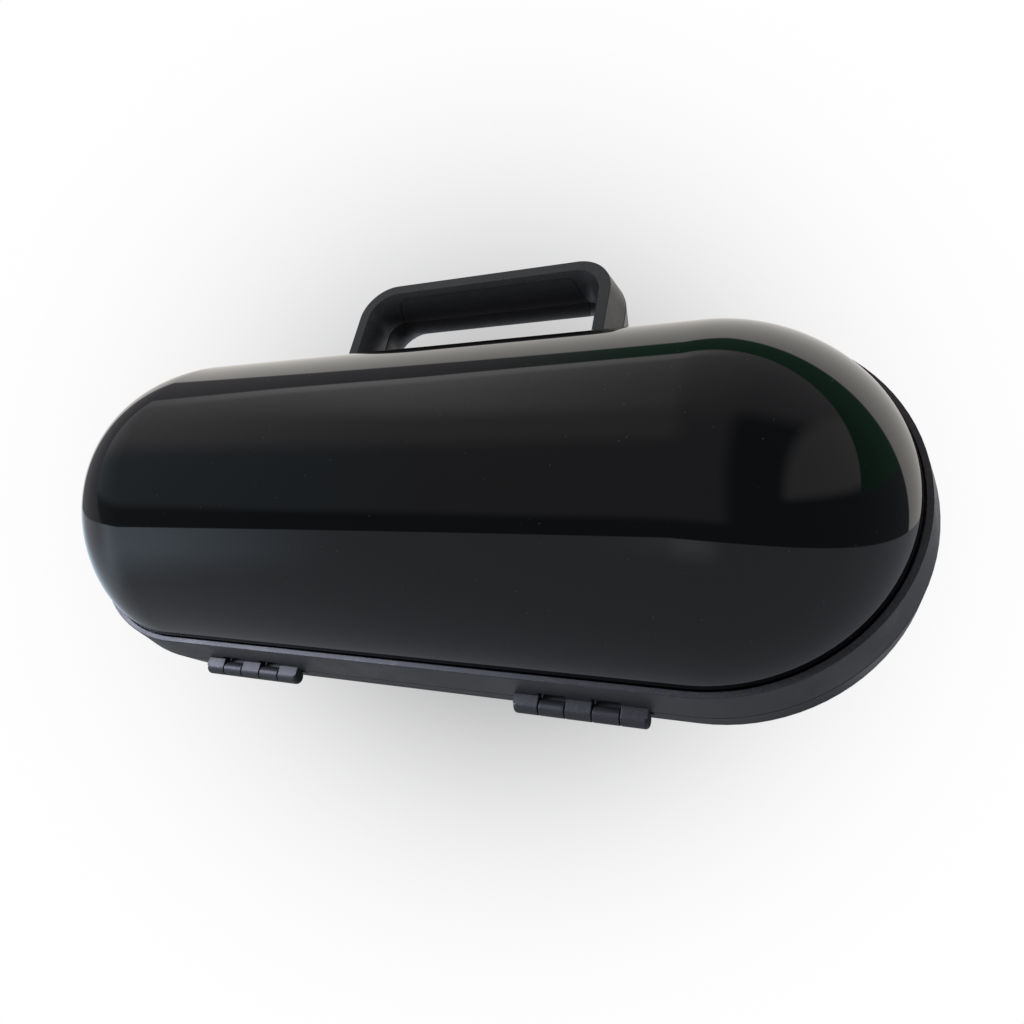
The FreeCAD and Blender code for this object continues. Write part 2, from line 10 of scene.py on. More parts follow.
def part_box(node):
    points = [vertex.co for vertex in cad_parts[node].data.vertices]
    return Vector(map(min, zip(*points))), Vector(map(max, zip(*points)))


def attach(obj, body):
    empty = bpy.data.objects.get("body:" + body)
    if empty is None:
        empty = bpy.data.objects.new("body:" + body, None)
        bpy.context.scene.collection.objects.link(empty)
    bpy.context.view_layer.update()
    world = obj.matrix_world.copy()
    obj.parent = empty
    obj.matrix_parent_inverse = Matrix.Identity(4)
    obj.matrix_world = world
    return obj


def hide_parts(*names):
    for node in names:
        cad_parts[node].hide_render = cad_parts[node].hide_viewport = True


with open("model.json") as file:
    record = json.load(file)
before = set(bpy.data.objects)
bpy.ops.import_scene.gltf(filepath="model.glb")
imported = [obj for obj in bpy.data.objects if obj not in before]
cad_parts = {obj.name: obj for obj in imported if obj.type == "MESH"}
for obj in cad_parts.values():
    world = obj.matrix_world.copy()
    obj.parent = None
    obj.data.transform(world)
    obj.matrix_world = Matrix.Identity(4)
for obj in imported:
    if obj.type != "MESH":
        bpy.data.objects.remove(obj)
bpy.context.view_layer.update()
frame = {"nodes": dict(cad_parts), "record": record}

bl_info = {
    "name": "Transport Case",
    "version": (1, 0, 0),
    "blender": (4, 5, 0),
    "location": "View3D > Sidebar > Case",
    "description": "Dresses a hard transport case with gloss shells, satin frames and foam inserts",
    "category": "Object",
}

MM = 0.001
SLOT_OF = {part["node"]: part["material_slot"] for part in frame["record"]["subparts"]}
BODY_OF = {
    node: body
    for body, nodes in frame["record"]["behaviour"]["bodies"].items()
    for node in nodes
}


def length(label, what, value):
    """A size in metres that a user may change."""
    return bpy.props.FloatProperty(
        name=label, description=what, default=value, min=0, precision=5, unit="LENGTH")


def colour(label, what, red, green, blue):
    """A linear colour that a user may change."""
    return bpy.props.FloatVectorProperty(
        name=label, description=what, default=(red, green, blue), min=0, max=1, size=3, subtype="COLOR")


class CaseSizes(bpy.types.PropertyGroup):
    """Sizes of the modelled pieces that the construction's boxes don't give."""

    dome_lean: bpy.props.FloatProperty(
        name="Dome lean", description="Lean of the dome's foot", default=math.radians(6), subtype="ANGLE")
    dome_shoulder: length("Dome shoulder", "Length of the dome's pull at its foot", 21.0 * MM)
    dome_crown: length("Dome crown", "Reach of the dome's level pull at its crown", 41.0 * MM)
    shell_wall: length("Shell wall", "Thickness of the domed shells", 2.8 * MM)
    flange_width: length("Flange width", "Width of the flange on the frame's shelf", 9.9 * MM)
    flange_thickness: length("Flange thickness", "Thickness of that flange", 2.6 * MM)
    screw_head: length("Screw head", "Height of the latch screws' heads", 1.2 * MM)
    screw_shank: length("Screw shank", "Radius of the latch screws' shanks", 1.25 * MM)
    screw_edge: length("Screw edge", "Rounding of the latch screws' heads", 0.35 * MM)
    screw_socket: length("Screw socket", "Radius of the hexagon in the heads", 1.15 * MM)
    screw_socket_depth: length("Screw socket depth", "Depth of that hexagon", 0.8 * MM)
    foam_voxel: length("Foam voxel", "Mesh size of the foam inserts", 1.8 * MM)
    foam_ripple: length("Foam ripple", "Unevenness of the cut foam", 0.25 * MM)
    foam_ripple_size: length("Foam ripple size", "Width of that unevenness", 14 * MM)
    foam_softening: bpy.props.IntProperty(
        name="Foam softening", description="Rounds of smoothing on the foam's edges", default=3, min=0)


class CaseColours(bpy.types.PropertyGroup):
    """Colours of the finishes."""

    gloss_black: colour("Gloss black", "Domed shells", 0.0012, 0.0012, 0.0014)
    dust: colour("Dust", "Settled specks", 0.16, 0.16, 0.155)
    frame_black: colour("Frame black", "Satin frames", 0.023, 0.024, 0.027)
    handle_black: colour("Handle black", "Satin handle", 0.034, 0.036, 0.038)
    grip_black: colour("Grip black", "Rubber grip pads", 0.030, 0.030, 0.032)
    latch_black: colour("Latch black", "Latch plastic", 0.026, 0.027, 0.029)
    foam_grey: colour("Foam grey", "Foam inserts", 0.045, 0.046, 0.049)
    seal_black: colour("Seal black", "Rubber seal", 0.016, 0.016, 0.016)
    foot_black: colour("Foot black", "Rubber feet", 0.02, 0.02, 0.021)
    steel_grey: colour("Steel grey", "Pins, keepers and screws", 0.46, 0.46, 0.47)


class CaseStage(bpy.types.PropertyGroup):
    """Camera, lamps and surround of the stage."""

    lens: bpy.props.FloatProperty(
        name="Lens", description="Focal length on a 36 mm sensor, in mm", default=26.79,
        subtype="DISTANCE_CAMERA")
    top_power: bpy.props.FloatProperty(
        name="Top power", description="Power of the large lamp overhead", default=7, unit="POWER")
    side_power: bpy.props.FloatProperty(
        name="Side power", description="Power of the lamp on the frames", default=9, unit="POWER")
    side_light: colour("Side light", "Light of that lamp", 0.78, 0.82, 1.0)
    floor: colour("Floor", "Floor", 0.47, 0.47, 0.47)
    table_grey: colour("Table grey", "Table in front", 0.395, 0.415, 0.455)
    table_pale: colour("Table pale", "Table in front, at its far edge", 0.69, 0.72, 0.77)
    table_blue: colour("Table blue", "Table on the left, in light from the sky", 0.72, 0.86, 1.0)
    room_dark: colour("Room dark", "Room just over the table", 0.085, 0.098, 0.108)
    room_blue: colour("Room blue", "Ceiling on the left", 0.215, 0.25, 0.28)
    room_grey: colour("Room grey", "Ceiling", 0.245, 0.235, 0.255)
    room_pale: colour("Room pale", "Back of the room", 0.395, 0.385, 0.40)
    window_pale: colour("Window pale", "Window at the back on the left", 0.70, 0.695, 0.70)
    sill_pale: colour("Sill pale", "Sill over the low strip", 0.88, 0.88, 0.88)
    strip_grey: colour("Strip grey", "Low strip of wall at the back, on the left", 0.19, 0.185, 0.20)
    strip_green: colour("Strip green", "Low strip of wall at the back", 0.06, 0.14, 0.095)
    paper_white: colour("Paper white", "Paper under the case, seen from its back", 0.88, 0.85, 0.81)


# Node helpers

def add_node(tree, kind, inputs=None, **settings):
    """Adds a shader node, with its inputs set to values or linked from sockets."""
    node = tree.nodes.new("ShaderNode" + kind)
    for name, value in settings.items():
        setattr(node, name, value)
    for name, value in (inputs or {}).items():
        if isinstance(value, bpy.types.NodeSocket):
            tree.links.new(value, node.inputs[name])
        else:
            node.inputs[name].default_value = value
    return node


def calc(tree, operation, first, second=0.0):
    """Result of a Math node."""
    node = add_node(tree, "Math", {0: first, 1: second}, operation=operation)
    return node.outputs[0]


def product(tree, first, *others):
    """Several values multiplied."""
    for value in others:
        first = calc(tree, "MULTIPLY", first, value)
    return first


def spread(tree, value, low, high, start=0.0, end=1.0):
    """Value carried smoothly from start to end as it goes from low to high."""
    node = add_node(
        tree, "MapRange",
        {"Value": value, "From Min": low, "From Max": high, "To Min": start, "To Max": end},
        interpolation_type="SMOOTHSTEP")
    return node.outputs["Result"]


def tint(value):
    """A colour as a socket takes it, with its alpha."""
    if isinstance(value, bpy.types.NodeSocket):
        return value
    return (*value, 1)


def mix_colours(tree, share, first, second):
    """Two colours mixed by a share."""
    node = add_node(tree, "Mix", {0: share, 6: tint(first), 7: tint(second)}, data_type="RGBA")
    return node.outputs[2]


def new_group(name, inputs, outputs):
    """Empty shader node group with its sockets; returns the tree, its inputs and its output node."""
    tree = bpy.data.node_groups.new(name, "ShaderNodeTree")
    for label, kind in inputs:
        tree.interface.new_socket(label, in_out="INPUT", socket_type="NodeSocket" + kind)
    for label, kind in outputs:
        tree.interface.new_socket(label, in_out="OUTPUT", socket_type="NodeSocket" + kind)
    start = tree.nodes.new("NodeGroupInput")
    end = tree.nodes.new("NodeGroupOutput")
    return tree, start.outputs, end


def use_group(tree, group, inputs):
    """Places a node group in a material; returns its outputs."""
    return add_node(tree, "Group", inputs, node_tree=group).outputs


# Shared surface effects

def grain_group():
    """Fine moulded grain, and a slow change of tone over the piece."""
    name = "Moulded Grain"
    if name in bpy.data.node_groups:
        return bpy.data.node_groups[name]
    tree, given, end = new_group(
        name, [("Vector", "Vector"), ("Size", "Float"), ("Patch", "Float")],
        [("Height", "Float"), ("Tone", "Float")])
    fine = add_node(tree, "TexNoise", {
        "Vector": given["Vector"], "Scale": calc(tree, "DIVIDE", 1.0, given["Size"]),
        "Detail": 3.0, "Roughness": 0.6})
    slow = add_node(tree, "TexNoise", {
        "Vector": given["Vector"], "Scale": calc(tree, "DIVIDE", 1.0, given["Patch"]),
        "Detail": 4.0, "Roughness": 0.55})
    tree.links.new(fine.outputs["Fac"], end.inputs["Height"])
    tree.links.new(slow.outputs["Fac"], end.inputs["Tone"])
    return tree


def dust_group():
    """Sparse specks of settled dust."""
    name = "Settled Dust"
    if name in bpy.data.node_groups:
        return bpy.data.node_groups[name]
    tree, given, end = new_group(
        name, [("Vector", "Vector"), ("Spacing", "Float"), ("Speck", "Float"), ("Share", "Float")],
        [("Mask", "Float")])
    cells = add_node(tree, "TexVoronoi", {
        "Vector": given["Vector"], "Scale": calc(tree, "DIVIDE", 1.0, given["Spacing"])})
    radius = calc(tree, "DIVIDE", given["Speck"], given["Spacing"])
    dots = spread(tree, cells.outputs["Distance"], radius, calc(tree, "MULTIPLY", radius, 0.4))
    pick = add_node(tree, "SeparateColor", {"Color": cells.outputs["Color"]})
    chosen = calc(tree, "LESS_THAN", pick.outputs[0], given["Share"])
    tree.links.new(calc(tree, "MULTIPLY", dots, chosen), end.inputs["Mask"])
    return tree


def marks_group():
    """Soft smudges from handling."""
    name = "Handling Marks"
    if name in bpy.data.node_groups:
        return bpy.data.node_groups[name]
    tree, given, end = new_group(
        name, [("Vector", "Vector"), ("Smudge", "Float")], [("Mask", "Float")])
    smudge = add_node(tree, "TexNoise", {
        "Vector": given["Vector"], "Scale": calc(tree, "DIVIDE", 1.0, given["Smudge"]),
        "Detail": 5.0, "Roughness": 0.62, "Distortion": 0.4})
    tree.links.new(spread(tree, smudge.outputs["Fac"], 0.42, 0.72), end.inputs["Mask"])
    return tree


# Finishes, one for each material slot

def new_material(slot):
    """Empty material; returns it, its tree, its Principled shader and its object coordinates."""
    material = bpy.data.materials.new("finish_" + slot)
    material.use_nodes = True
    tree = material.node_tree
    tree.nodes.clear()
    shader = add_node(tree, "BsdfPrincipled")
    add_node(tree, "OutputMaterial", {"Surface": shader.outputs["BSDF"]})
    place = add_node(tree, "TexCoord").outputs["Object"]
    return material, tree, shader, place


def feed(tree, shader, name, socket):
    """Links a socket to one of the shader's inputs."""
    tree.links.new(socket, shader.inputs[name])


def bump(tree, shader, height, depth):
    """Feeds the shader's normal from a height of 0 to 1 that stands for a depth in metres."""
    node = add_node(tree, "Bump", {"Height": height, "Strength": 1.0, "Distance": depth})
    feed(tree, shader, "Normal", node.outputs["Normal"])


def gloss_shell(slot, colours):
    """Piano-black gloss with sparse dust, faint smudges and a slight ripple from the mould."""
    material, tree, shader, place = new_material(slot)
    dust = use_group(tree, dust_group(), {
        "Vector": place, "Spacing": 3.6 * MM, "Speck": 0.2 * MM, "Share": 0.6})["Mask"]
    marks = use_group(tree, marks_group(), {"Vector": place, "Smudge": 55 * MM})["Mask"]
    grain = use_group(tree, grain_group(), {"Vector": place, "Size": 9 * MM, "Patch": 90 * MM})
    feed(tree, shader, "Base Color", mix_colours(tree, dust, colours.gloss_black, colours.dust))
    rough = calc(tree, "ADD", product(tree, marks, 0.02), 0.015)
    feed(tree, shader, "Roughness", calc(tree, "ADD", rough, product(tree, dust, 0.4)))
    bump(tree, shader, grain["Height"], 0.002 * MM)
    return material


def tinted(tone, share):
    """A colour made darker or paler by a share."""
    return [min(1.0, part * share) for part in tone]


def moulded(slot, tone, grain_size, grain_depth, rough, dust_share):
    """Satin or rubbery moulded plastic with a fine grain, smudges and a little dust."""
    colours = bpy.context.scene.case_colours
    material, tree, shader, place = new_material(slot)
    grain = use_group(tree, grain_group(), {"Vector": place, "Size": grain_size, "Patch": 40 * MM})
    marks = use_group(tree, marks_group(), {"Vector": place, "Smudge": 24 * MM})["Mask"]
    dust = use_group(tree, dust_group(), {
        "Vector": place, "Spacing": 3.2 * MM, "Speck": 0.16 * MM, "Share": dust_share})["Mask"]
    slow = mix_colours(tree, grain["Tone"], tinted(tone, 0.75), tinted(tone, 1.25))
    fine = spread(tree, grain["Height"], 0.45, 0.66, 0.0, 0.6)
    shade = mix_colours(tree, fine, slow, tinted(tone, 2.4))
    feed(tree, shader, "Base Color", mix_colours(tree, dust, shade, colours.dust))
    worn = spread(tree, marks, 0.0, 1.0, rough, rough - 0.07)
    grainy = spread(tree, grain["Height"], 0.3, 0.7, -0.05, 0.05)
    feed(tree, shader, "Roughness", calc(tree, "ADD", worn, grainy))
    bump(tree, shader, grain["Height"], grain_depth)
    return material


def foam_finish(slot, colours):
    """Closed-cell foam with open pores on its cut faces, their hollows painted darker as painted shade."""
    material, tree, shader, place = new_material(slot)
    pores = add_node(tree, "TexVoronoi", {"Vector": place, "Scale": 1 / (1.1 * MM), "Randomness": 1.0})
    depth = spread(tree, pores.outputs["Distance"], 0.1, 0.55)
    grain = use_group(tree, grain_group(), {"Vector": place, "Size": 0.5 * MM, "Patch": 30 * MM})
    # Painted shade: the foam colour darkens towards each pore's middle
    shade = mix_colours(tree, depth, tinted(colours.foam_grey, 0.35), colours.foam_grey)
    pale = tinted(colours.foam_grey, 1.5)
    feed(tree, shader, "Base Color", mix_colours(tree, product(tree, grain["Tone"], 0.5), shade, pale))
    feed(tree, shader, "Roughness", spread(tree, grain["Height"], 0.2, 0.8, 0.85, 1.0))
    height = calc(tree, "ADD", product(tree, depth, 0.7), product(tree, grain["Height"], 0.3))
    bump(tree, shader, height, 0.35 * MM)
    return material


def steel(slot, colours):
    """Drawn steel with fine lengthwise lines."""
    material, tree, shader, place = new_material(slot)
    stretch = add_node(tree, "Mapping", {"Vector": place, "Scale": (0.05, 1.0, 1.0)})
    grain = use_group(tree, grain_group(), {
        "Vector": stretch.outputs["Vector"], "Size": 0.25 * MM, "Patch": 6 * MM})
    dark = tinted(colours.steel_grey, 0.6)
    feed(tree, shader, "Base Color", mix_colours(tree, grain["Tone"], dark, colours.steel_grey))
    feed(tree, shader, "Roughness", spread(tree, grain["Height"], 0.2, 0.8, 0.24, 0.42))
    shader.inputs["Metallic"].default_value = 1.0
    bump(tree, shader, grain["Height"], 0.004 * MM)
    return material


def finish(slot):
    """The material of a slot, made when it is first asked for."""
    made = bpy.data.materials.get("finish_" + slot)
    if made:
        return made
    colours = bpy.context.scene.case_colours
    if slot == "gloss_shell":
        return gloss_shell(slot, colours)
    if slot == "foam":
        return foam_finish(slot, colours)
    if slot in ("screw_steel", "pin_steel"):
        return steel(slot, colours)
    plastics = {
        "satin_frame": (colours.frame_black, 0.6 * MM, 0.016 * MM, 0.48, 0.35),
        "satin_handle": (colours.handle_black, 0.6 * MM, 0.02 * MM, 0.40, 0.35),
        "latch_plastic": (colours.latch_black, 0.35 * MM, 0.014 * MM, 0.42, 0.25),
        "grip_rubber": (colours.grip_black, 0.5 * MM, 0.04 * MM, 0.58, 0.35),
        "seal_rubber": (colours.seal_black, 0.6 * MM, 0.03 * MM, 0.55, 0.3),
        "foot_rubber": (colours.foot_black, 0.6 * MM, 0.05 * MM, 0.66, 0.4),
    }
    return moulded(slot, *plastics[slot])


def dress(*nodes):
    """Gives CAD nodes the finish of their slot."""
    for node in nodes:
        data = frame["nodes"][node].data
        data.materials.clear()
        data.materials.append(finish(SLOT_OF[node]))


# Mesh helpers

def new_piece(name, mesh, node):
    """Shows a finished mesh in place of a CAD node, on its body and in its slot."""
    piece = bpy.data.objects.new(name, mesh)
    bpy.context.scene.collection.objects.link(piece)
    mesh.materials.clear()
    mesh.materials.append(finish(SLOT_OF[node]))
    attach(piece, BODY_OF[node])
    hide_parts(node)
    return piece


def close_mesh(bm, name, sharp_angle):
    """Merges doubles, turns faces outwards and makes a smooth mesh that is sharp past an angle."""
    bmesh.ops.remove_doubles(bm, verts=bm.verts, dist=0.001 * MM)
    bmesh.ops.recalc_face_normals(bm, faces=bm.faces)
    mesh = bpy.data.meshes.new(name)
    bm.to_mesh(mesh)
    bm.free()
    mesh.shade_smooth()
    mesh.set_sharp_from_angle(angle=sharp_angle)
    return mesh


def sweep_outline(bm, edges, straight_half, middle_y, steps):
    """Carries a profile drawn at the right end, on its +Y side, round the case's outline."""
    down = Vector((0, 0, -1))
    for side in (1, -1):
        ends = bmesh.ops.spin(
            bm, geom=edges, cent=Vector((side * straight_half, middle_y, 0)), axis=down,
            angle=math.pi, steps=steps)
        last = [part for part in ends["geom_last"] if isinstance(part, bmesh.types.BMEdge)]
        drawn = bmesh.ops.extrude_edge_only(bm, edges=last)
        moved = [part for part in drawn["geom"] if isinstance(part, bmesh.types.BMVert)]
        bmesh.ops.translate(bm, verts=moved, vec=Vector((-2 * side * straight_half, 0, 0)))
        edges = [part for part in drawn["geom"] if isinstance(part, bmesh.types.BMEdge)]
        edges = [edge for edge in edges if all(vert in moved for vert in edge.verts)]
    return bm


# Pieces

DOME_POINTS = 56
END_STEPS = 72
SCREW_STEPS = 48


def dome_profile(sizes, inset, radius, foot, crown):
    """Points of the dome from its foot to its crown as (radius, height), moved in by a wall."""
    height = crown - foot
    start = Vector((radius - inset, foot))
    end = Vector((0, crown - inset))
    shoulder = sizes.dome_shoulder * (height - inset) / height
    reach = sizes.dome_crown * (radius - inset) / radius
    lean = Vector((-math.sin(sizes.dome_lean), math.cos(sizes.dome_lean)))
    return geometry.interpolate_bezier(
        start, start + lean * shoulder, end + Vector((reach, 0)), end, DOME_POINTS)


def shell_mesh(sizes, node, foot, flip_about):
    """Domed shell with its skirt and flange, swept round the outline."""
    low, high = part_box("lid_shell")
    middle_y = (low.y + high.y) / 2
    radius = (high.y - low.y) / 2
    straight_half = high.x - radius
    wall = sizes.shell_wall
    flange_inner = radius - sizes.flange_width
    flange_top = low.z + sizes.flange_thickness
    outside = dome_profile(sizes, 0, radius, foot, high.z)
    inside = dome_profile(sizes, wall, radius, foot, high.z)
    skirt = [
        (radius, low.z), (flange_inner, low.z), (flange_inner, flange_top), (radius - wall, flange_top)]
    outline = [tuple(point) for point in reversed(outside)] + skirt + [tuple(point) for point in inside]
    bm = bmesh.new()
    verts = [bm.verts.new((straight_half, middle_y + reach, height)) for reach, height in outline]
    edges = [bm.edges.new(pair) for pair in zip(verts, verts[1:])]
    sweep_outline(bm, edges, straight_half, middle_y, END_STEPS)
    if flip_about is not None:
        bmesh.ops.scale(bm, verts=bm.verts, vec=(1, 1, -1))
        bmesh.ops.translate(bm, verts=bm.verts, vec=(0, 0, 2 * flip_about))
    return close_mesh(bm, node, math.radians(50))


class CASE_OT_shells(bpy.types.Operator):
    """Models the two glossy domed shells"""

    bl_idname = "case.shells"
    bl_label = "Domed Shells"

    def execute(self, context):
        sizes = context.scene.case_sizes
        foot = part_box("lid_frame")[1].z
        parting = (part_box("lid_shell")[0].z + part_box("base_shell")[1].z) / 2
        for node, flip_about in (("lid_shell", None), ("base_shell", parting)):
            new_piece(node + "_gloss", shell_mesh(sizes, node, foot, flip_about), node)
        return {"FINISHED"}


class CASE_OT_frames(bpy.types.Operator):
    """Finishes the frames, with their hinge knuckles, and the hinge pins"""

    bl_idname = "case.frames"
    bl_label = "Frames and Hinges"

    def execute(self, context):
        dress("lid_frame", "base_frame", "hinge_pin_left", "hinge_pin_right")
        return {"FINISHED"}


class CASE_OT_handle(bpy.types.Operator):
    """Finishes the two halves of the handle, their grip pads and their screws"""

    bl_idname = "case.handle"
    bl_label = "Carrying Handle"

    def execute(self, context):
        for half in ("lid", "base"):
            dress(half + "_handle_half", half + "_grip_pad", half + "_handle_screws")
        return {"FINISHED"}


def screw_mesh(sizes, node):
    """A latch cover's two screws, with round heads and hexagon sockets."""
    low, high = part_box(node)
    head = (high.z - low.z) / 2
    edge = sizes.screw_edge
    face = sizes.screw_head
    tip = low.y - high.y + face
    rim = head - edge
    fall = edge * (1 - math.sqrt(0.5))
    profile = [
        (0, tip), (sizes.screw_shank, tip), (sizes.screw_shank, 0), (head, 0), (head, face - edge),
        (head - fall, face - fall), (rim, face)]
    bm = bmesh.new()
    verts = [bm.verts.new((reach, 0, height)) for reach, height in profile]
    edges = [bm.edges.new(pair) for pair in zip(verts, verts[1:])]
    bmesh.ops.spin(
        bm, geom=verts + edges, cent=(0, 0, 0), axis=(0, 0, 1), angle=math.tau, steps=SCREW_STEPS,
        use_merge=True)
    bmesh.ops.remove_doubles(bm, verts=bm.verts, dist=0.001 * MM)
    round_rim = [part for part in bm.edges if part.is_boundary]
    socket = bmesh.ops.create_circle(
        bm, segments=6, radius=sizes.screw_socket, matrix=Matrix.Translation((0, 0, face)))
    corners = socket["verts"]
    hexagon = list({part for vert in corners for part in vert.link_edges})
    bmesh.ops.bridge_loops(bm, edges=round_rim + hexagon)
    drawn = bmesh.ops.extrude_edge_only(bm, edges=hexagon)["geom"]
    floor_verts = [part for part in drawn if isinstance(part, bmesh.types.BMVert)]
    bmesh.ops.translate(bm, verts=floor_verts, vec=(0, 0, -sizes.screw_socket_depth))
    bmesh.ops.contextual_create(bm, geom=floor_verts)
    first = Vector((low.x + head, high.y - face, (low.z + high.z) / 2))
    stand = Matrix.Translation(first) @ Matrix.Rotation(-math.pi / 2, 4, "X")
    bmesh.ops.transform(bm, matrix=stand, verts=bm.verts)
    copied = bmesh.ops.duplicate(bm, geom=bm.verts[:] + bm.edges[:] + bm.faces[:])["geom"]
    second = [part for part in copied if isinstance(part, bmesh.types.BMVert)]
    bmesh.ops.translate(bm, verts=second, vec=(high.x - low.x - 2 * head, 0, 0))
    return close_mesh(bm, node, math.radians(40))


class CASE_OT_latches(bpy.types.Operator):
    """Finishes the latches and models the screws of their covers"""

    bl_idname = "case.latches"
    bl_label = "Latches"

    def execute(self, context):
        sizes = context.scene.case_sizes
        for side in ("left", "right"):
            dress("latch_cover_" + side, "latch_slider_" + side, "latch_keeper_" + side)
            screws = "latch_cover_screws_" + side
            new_piece(screws + "_socket", screw_mesh(sizes, screws), screws)
        return {"FINISHED"}


class CASE_OT_seal(bpy.types.Operator):
    """Finishes the seal, the feet and the screws of the shells"""

    bl_idname = "case.seal"
    bl_label = "Seal, Feet and Shell Screws"

    def execute(self, context):
        dress("seal_gasket", "lid_shell_screws", "base_shell_screws")
        for row in ("hinge", "handle"):
            dress("foot_" + row + "_left", "foot_" + row + "_right")
        return {"FINISHED"}


def foam_mesh(sizes, node):
    """Foam insert with softened edges and the slight unevenness of cut foam."""
    bm = bmesh.new()
    bm.from_mesh(frame["nodes"][node].data)
    bmesh.ops.remove_doubles(bm, verts=bm.verts, dist=0.005 * MM)
    rough = bpy.data.meshes.new(node + "_block")
    bm.to_mesh(rough)
    bm.free()
    block = bpy.data.objects.new(node + "_block", rough)
    bpy.context.scene.collection.objects.link(block)
    remesh = block.modifiers.new("remesh", "REMESH")
    remesh.mode = "VOXEL"
    remesh.voxel_size = sizes.foam_voxel
    graph = bpy.context.evaluated_depsgraph_get()
    mesh = bpy.data.meshes.new_from_object(block.evaluated_get(graph))
    bpy.data.objects.remove(block)
    bm = bmesh.new()
    bm.from_mesh(mesh)
    for unused in range(sizes.foam_softening):
        bmesh.ops.smooth_vert(
            bm, verts=bm.verts, factor=0.5, use_axis_x=True, use_axis_y=True, use_axis_z=True)
    for vert in bm.verts:
        lift = noise.noise(vert.co / sizes.foam_ripple_size)
        vert.co += vert.normal * lift * sizes.foam_ripple
    bm.to_mesh(mesh)
    bm.free()
    mesh.shade_smooth()
    return mesh


class CASE_OT_foam(bpy.types.Operator):
    """Models the two foam inserts"""

    bl_idname = "case.foam"
    bl_label = "Foam Inserts"

    def execute(self, context):
        sizes = context.scene.case_sizes
        for node in ("lid_foam", "base_foam"):
            piece = new_piece(node + "_insert", foam_mesh(sizes, node), node)
        return {"FINISHED"}


# Stage

CAMERA_PLACE = Vector((0.17719, -0.15186, 0.35502))
CAMERA_LOOK = Vector((-0.4209, 0.38686, -0.82048))
CAMERA_UP = Vector((-0.00714, 0.90306, 0.42946))
HORIZON = Vector((0.057, 0.813, 0.579))
HORIZON_DROP = 0.125
PAPER_TILT = Vector((0.027, 0.542, -0.84))
FLOOR_RADIUS = 6.0
# Painted shade halo on the floor: an ellipse round the case, stretched towards the back left, where less
# white is mixed in
FADE_MIDDLE = Vector((-0.005, 0.0155, 0.0))
FADE_ALONG = Vector((-0.736, 0.677, 0.0))
FADE_ACROSS = Vector((0.677, 0.736, 0.0))
FADE_LENGTH = 0.179
FADE_WIDTH = 0.147
FADE_STRETCH = 1.32
WHITE_IN_PAINTED_HALO = 0.15
UNDER_END = 0.18
UNDER_FRONT = -0.115
UNDER_BACK = 0.06
UNDER_SOFT = 0.02
LAMP_TARGET = Vector((0.0, 0.0, 0.08))
TOP_PLACE = Vector((-0.35, 0.35, 1.6))
TOP_WIDTH = 1.6
SIDE_PLACE = Vector((-0.71, 0.0, 0.75))
SIDE_WIDTH = 0.5

# Ranges over which one part of the mirrored surround passes into the next, along X, along Y or, for
# those called rise, over the horizon

HORIZON_BLUR = (-0.004, 0.004)
FAR_EDGE_RISE = (-0.25, -0.03)
FAR_EDGE_X = (0.35, 0.05)
SKYLIT_RISE = (-0.4, -0.12)
SKYLIT_RIGHT_X = (-0.6, -0.8)
SKYLIT_LEFT_X = (-0.99, -0.9)
CEILING_BLUE_X = (-0.45, -0.65)
BACK_Y = (0.25, 0.85)
BACK_LEFT_X = (0.05, -0.3)
BACK_LEFT_Y = (0.12, 0.34)
BACK_RIGHT_X = (0.5, 0.0)
BACK_RIGHT_SHARE = 0.35
WINDOW_RIGHT_X = (0.0, -0.62)
WINDOW_LEFT_X = (-0.78, -0.46)
WINDOW_Y = (0.45, 0.66)
SHADED_X = (0.25, 0.45)
SHADED_Y = (0.62, 0.42)
RIGHT_END_X = (0.72, 0.82)
RIGHT_END_RISE = (0.32, 0.42)
RIGHT_LOW_X = (0.68, 0.8)
RIGHT_LOW_RISE = (0.35, 0.31)
ROOM_RISE = (0.12, 0.21)

# The sill, the low strip and the paper at the back of the room

STRIP_SLOPE = 0.1
STRIP_STEP = 0.035
STRIP_STEP_X = (-0.5, -0.68)
STRIP_TOP = (0.15, 0.13)
STRIP_GREEN_X = (-0.5, -0.2)
SILL_FOOT = (0.13, 0.16)
SILL_TOP = (0.26, 0.19)
SILL_LEFT_X = (-0.85, -0.5)
SILL_RIGHT_X = (0.25, -0.5)
PAPER_EDGE = 0.62
PAPER_SLOPE = 0.26
PAPER_BLUR = (-0.012, 0.012)


def facing(tree, direction, towards):
    """How far a direction faces another."""
    node = add_node(tree, "VectorMath", {0: direction, 1: towards}, operation="DOT_PRODUCT")
    return node.outputs["Value"]


def table_colour(tree, stage, over, x):
    """Grey table, pale at its far edge and blue on the left."""
    across = calc(tree, "ABSOLUTE", x)
    far_edge = product(tree, spread(tree, over, *FAR_EDGE_RISE), spread(tree, across, *FAR_EDGE_X))
    table = mix_colours(tree, far_edge, stage.table_grey, stage.table_pale)
    skylit = product(
        tree, spread(tree, x, *SKYLIT_RIGHT_X), spread(tree, x, *SKYLIT_LEFT_X),
        spread(tree, over, *SKYLIT_RISE))
    return mix_colours(tree, skylit, table, stage.table_blue)


